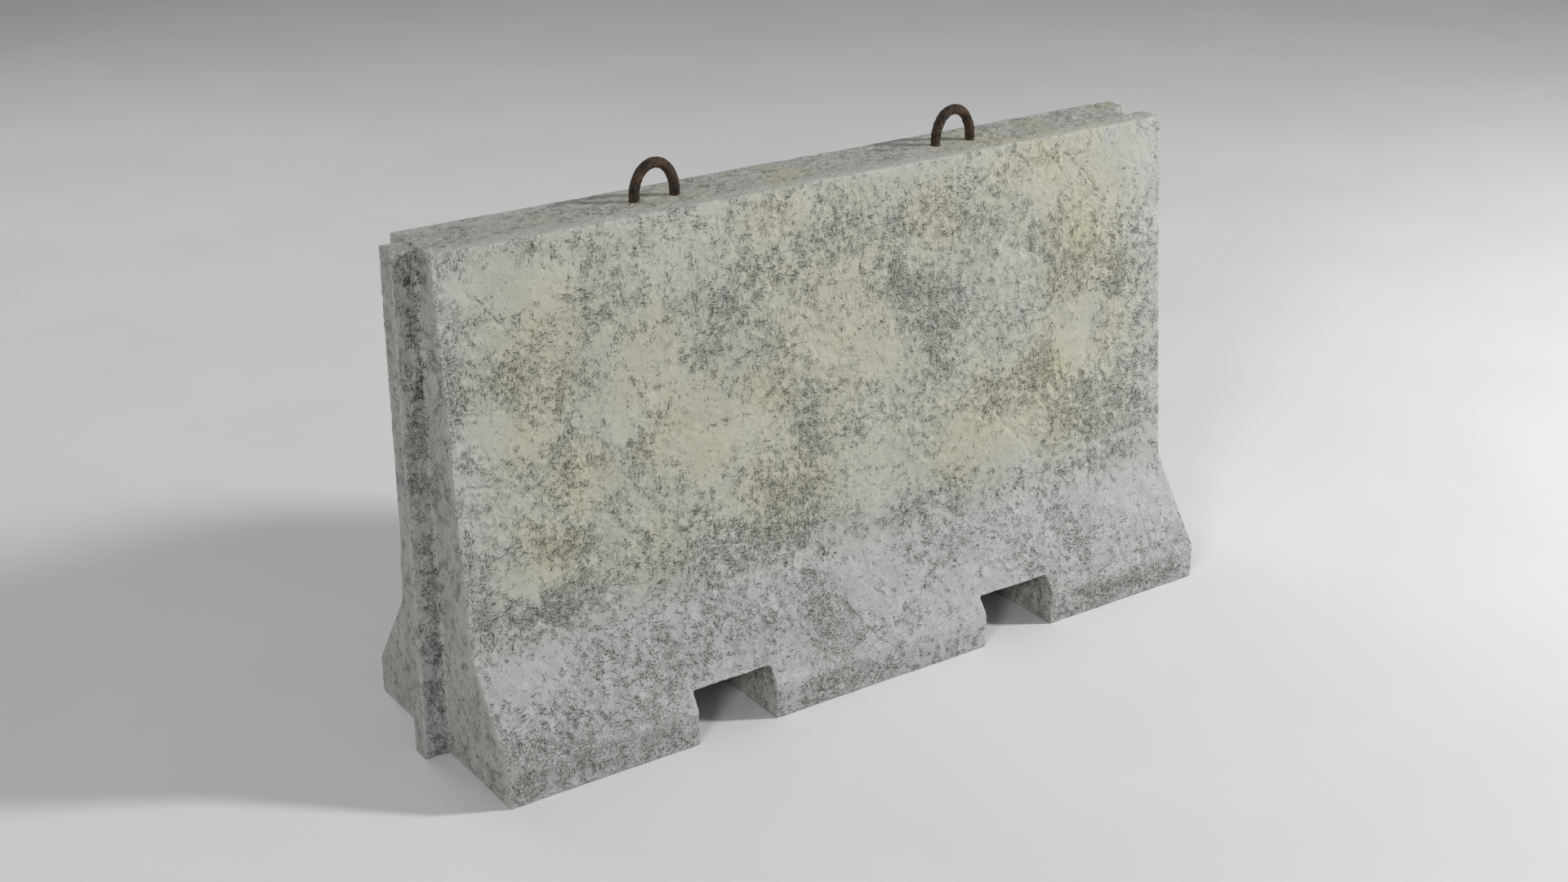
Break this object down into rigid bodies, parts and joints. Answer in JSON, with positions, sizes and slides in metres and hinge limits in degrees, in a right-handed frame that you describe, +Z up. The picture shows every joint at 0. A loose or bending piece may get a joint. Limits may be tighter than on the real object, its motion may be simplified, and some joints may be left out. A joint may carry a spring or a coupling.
{
  "type": "concrete jersey barrier",
  "caption": "Precast concrete traffic barrier with a sloped toe, battered stem, tongue and groove ends, fork pockets and rusty lifting loops.",
  "frame": {"origin": "ground level, under the centre of the footprint (tongue included)", "axes": "+X along the barrier from the tongue end to the groove end, +Y across it to the back face, +Z up"},
  "size_m": [1.738, 0.54, 1.0759],
  "materials": {
    "concrete": "weathered cast concrete, pitted and stained",
    "loop_steel": "heavily rusted round bar",
    "rebar_steel": "mill scale with light rust",
    "spacer_plastic": "matt recycled plastic"
  },
  "bodies": {
    "root": {"break_bar_back": "rebar_steel", "break_bar_front": "rebar_steel", "concrete_body": "concrete", "cover_spacers_back": "spacer_plastic", "cover_spacers_front": "spacer_plastic", "foot_bar_left_back": "rebar_steel", "foot_bar_left_front": "rebar_steel", "foot_bar_middle_back": "rebar_steel", "foot_bar_middle_front": "rebar_steel", "foot_bar_right_back": "rebar_steel", "foot_bar_right_front": "rebar_steel", "foot_link_01": "rebar_steel", "foot_link_02": "rebar_steel", "foot_link_03": "rebar_steel", "foot_link_04": "rebar_steel", "foot_link_05": "rebar_steel", "foot_link_06": "rebar_steel", "foot_link_07": "rebar_steel", "foot_link_08": "rebar_steel", "foot_link_09": "rebar_steel", "lifting_loop_left": "loop_steel", "lifting_loop_right": "loop_steel", "lintel_bar_back": "rebar_steel", "lintel_bar_front": "rebar_steel", "loop_anchor_bar_left_inner": "rebar_steel", "loop_anchor_bar_left_outer": "rebar_steel", "loop_anchor_bar_right_inner": "rebar_steel", "loop_anchor_bar_right_outer": "rebar_steel", "middle_bar_back": "rebar_steel", "middle_bar_front": "rebar_steel", "stem_stirrup_01": "rebar_steel", "stem_stirrup_02": "rebar_steel", "stem_stirrup_03": "rebar_steel", "stem_stirrup_04": "rebar_steel", "stem_stirrup_05": "rebar_steel", "stem_stirrup_06": "rebar_steel", "stem_stirrup_07": "rebar_steel", "stem_stirrup_08": "rebar_steel", "stem_stirrup_09": "rebar_steel", "stem_stirrup_10": "rebar_steel", "stem_stirrup_11": "rebar_steel", "top_bar_back": "rebar_steel", "top_bar_front": "rebar_steel", "upper_bar_back": "rebar_steel", "upper_bar_front": "rebar_steel"}
  },
  "joints": []
}
